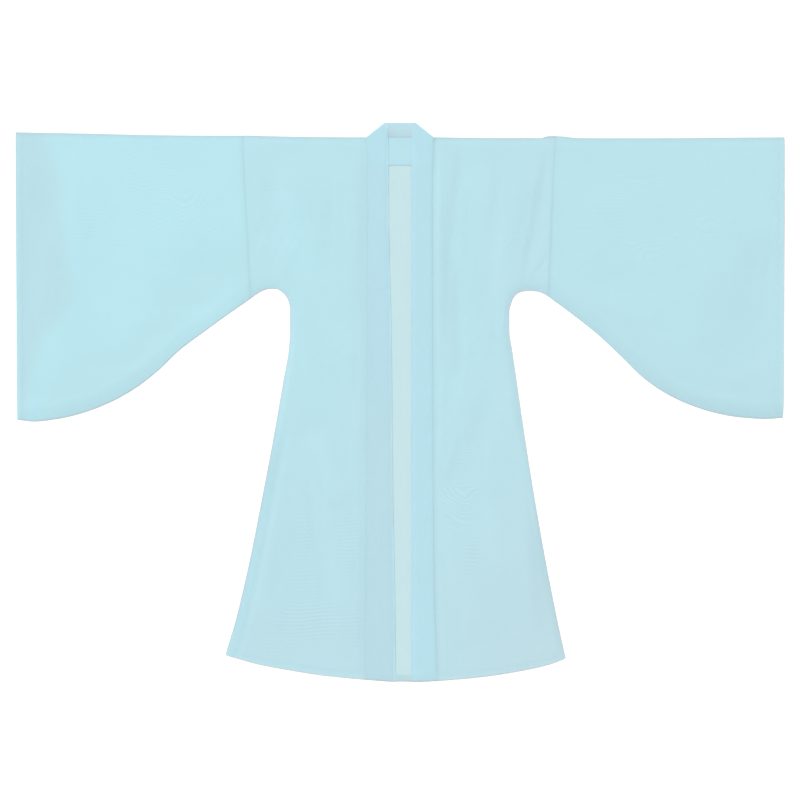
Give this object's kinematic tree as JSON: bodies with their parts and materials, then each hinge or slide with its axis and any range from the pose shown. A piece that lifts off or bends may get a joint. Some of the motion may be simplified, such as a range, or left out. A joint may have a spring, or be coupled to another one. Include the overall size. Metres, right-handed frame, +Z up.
{
  "type": "hanfu cardigan laid flat",
  "caption": "Open-front robe of sheer cloth with a straight collar and wide sleeves, laid flat and face up.",
  "frame": {"origin": "on the surface that the robe lies on, under the middle of its outline", "axes": "+X along the span of the sleeves, to the right as seen from above with the collar at the top; +Y from the hem toward the collar; +Z up, out of the front of the robe"},
  "size_m": [1.922, 1.3984, 0.0059],
  "materials": {
    "chiffon": "sheer plain-weave chiffon, pale blue, matt with a faint sheen",
    "collar_chiffon": "the same chiffon, doubled, so a little deeper in colour"
  },
  "bodies": {
    "root": {"back": "chiffon", "front_left": "chiffon", "front_right": "chiffon", "sleeve_left": "chiffon", "sleeve_right": "chiffon", "collar": "collar_chiffon", "neck_facing": "collar_chiffon"}
  },
  "joints": []
}
